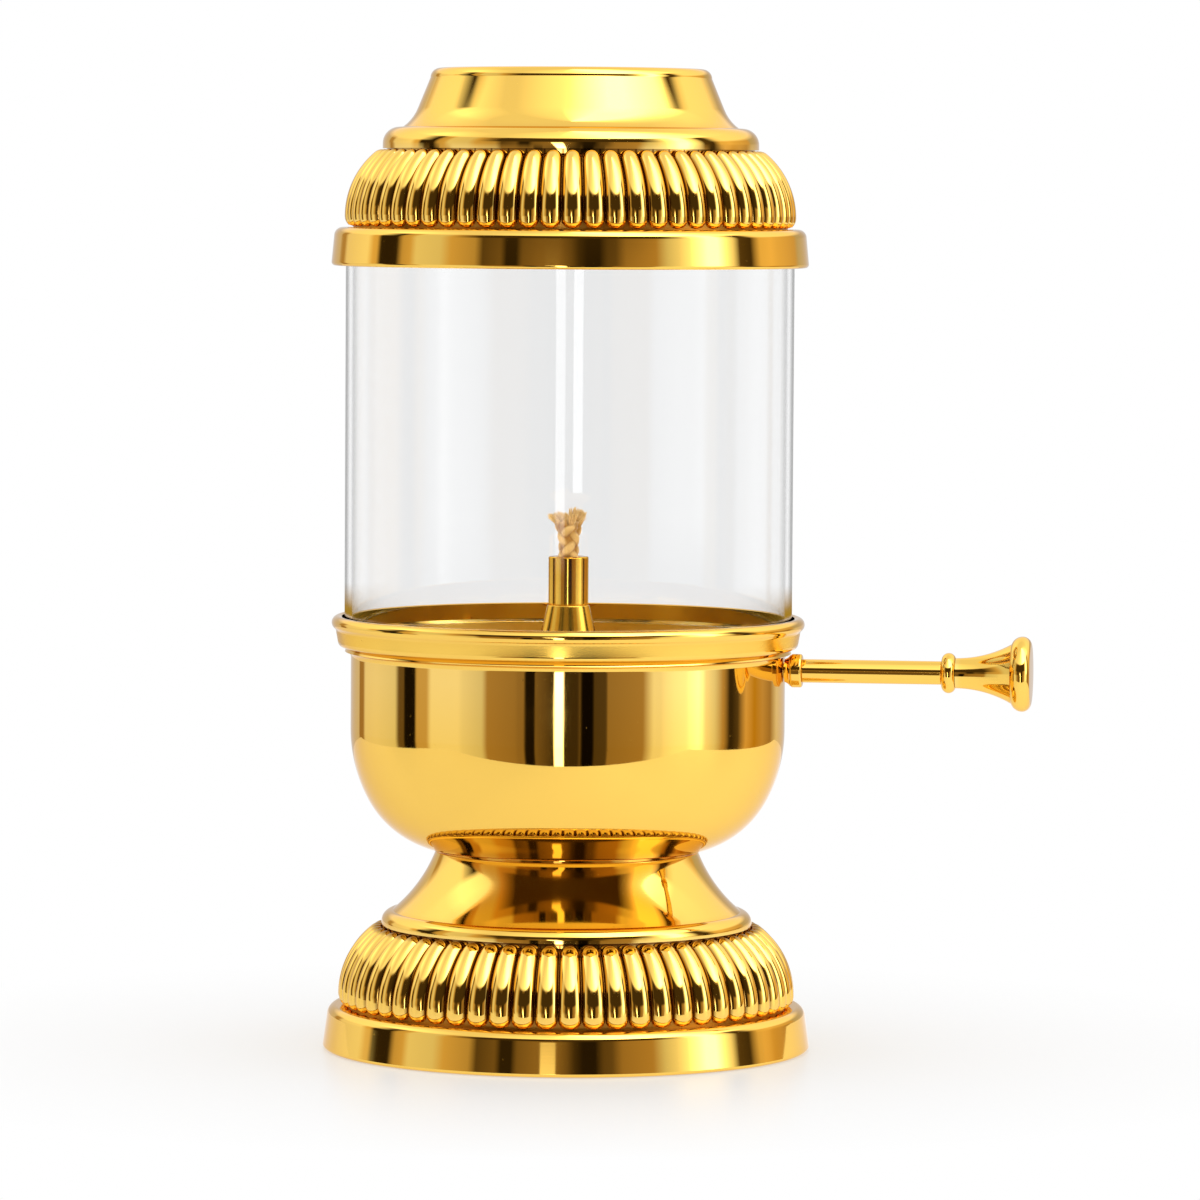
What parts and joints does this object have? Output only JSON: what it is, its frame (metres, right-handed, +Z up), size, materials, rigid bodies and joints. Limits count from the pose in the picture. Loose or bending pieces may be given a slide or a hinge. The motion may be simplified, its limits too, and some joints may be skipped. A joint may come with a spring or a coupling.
{
  "type": "oil lamp",
  "caption": "Free-standing brass akhand diya: gadrooned pedestal foot, deep oil bowl with a side handle, wick burner, clear glass chimney and vented gadrooned cap.",
  "frame": {"origin": "middle of the foot's rim, on the surface that the lamp stands on", "axes": "+Z up along the lamp's axis, +X towards the handle's knob, +Y completes a right-handed frame"},
  "size_m": [0.198, 0.1364, 0.2736],
  "materials": {
    "polished_brass": "mirror-polished yellow brass with fine polishing marks",
    "plated_steel": "zinc-plated steel hardware, hidden under the foot",
    "cotton_braid": "braided undyed cotton with a frayed end",
    "clear_glass": "clear drawn glass tube"
  },
  "bodies": {
    "stand": {"foot_rim": "polished_brass", "foot_gadroon_ring": "polished_brass", "pedestal_neck": "polished_brass", "bottom_plate": "polished_brass", "tie_rod": "plated_steel", "tie_washer": "plated_steel", "tie_nut": "plated_steel", "oil_bowl": "polished_brass", "gallery_ring": "polished_brass", "handle_nut": "polished_brass"},
    "saddle": {"handle_saddle": "polished_brass"},
    "handle": {"handle_collar": "polished_brass", "handle_rod": "polished_brass", "handle_bead": "polished_brass", "handle_knob": "polished_brass"},
    "burner": {"burner_foot": "polished_brass", "burner_stem": "polished_brass", "burner_cone": "polished_brass", "wick_tube": "polished_brass"},
    "wick": {"wick": "cotton_braid"},
    "chimney": {"glass_chimney": "clear_glass"},
    "cap": {"cap_rim": "polished_brass", "cap_gadroon_ring": "polished_brass", "cap_neck": "polished_brass"}
  },
  "joints": [
    {"name": "chimney_lift", "type": "slide", "parent": "stand", "child": "chimney", "axis": [0, 0, 1], "range_m": [0, 0.08]},
    {"name": "cap_lift", "type": "slide", "parent": "chimney", "child": "cap", "axis": [0, 0, 1], "range_m": [0, 0.06]},
    {"name": "burner_lift", "type": "slide", "parent": "stand", "child": "burner", "axis": [0, 0, 1], "range_m": [0, 0.075]},
    {"name": "wick_raise", "type": "slide", "parent": "burner", "child": "wick", "axis": [0, 0, 1], "range_m": [-0.005, 0.02]},
    {"name": "handle_unscrew", "type": "slide", "parent": "stand", "child": "saddle", "axis": [1, 0, 0], "range_m": [0, 0.0064]},
    {"name": "handle_turn", "type": "hinge", "parent": "saddle", "child": "handle", "pos_m": [0.0627, 0, 0.1067], "axis": [1, 0, 0], "range_deg": [0, 2880.1]}
  ],
  "couplings": [
    {"joint": "handle_turn", "follows": "handle_unscrew", "rad_per_m": 7854}
  ]
}
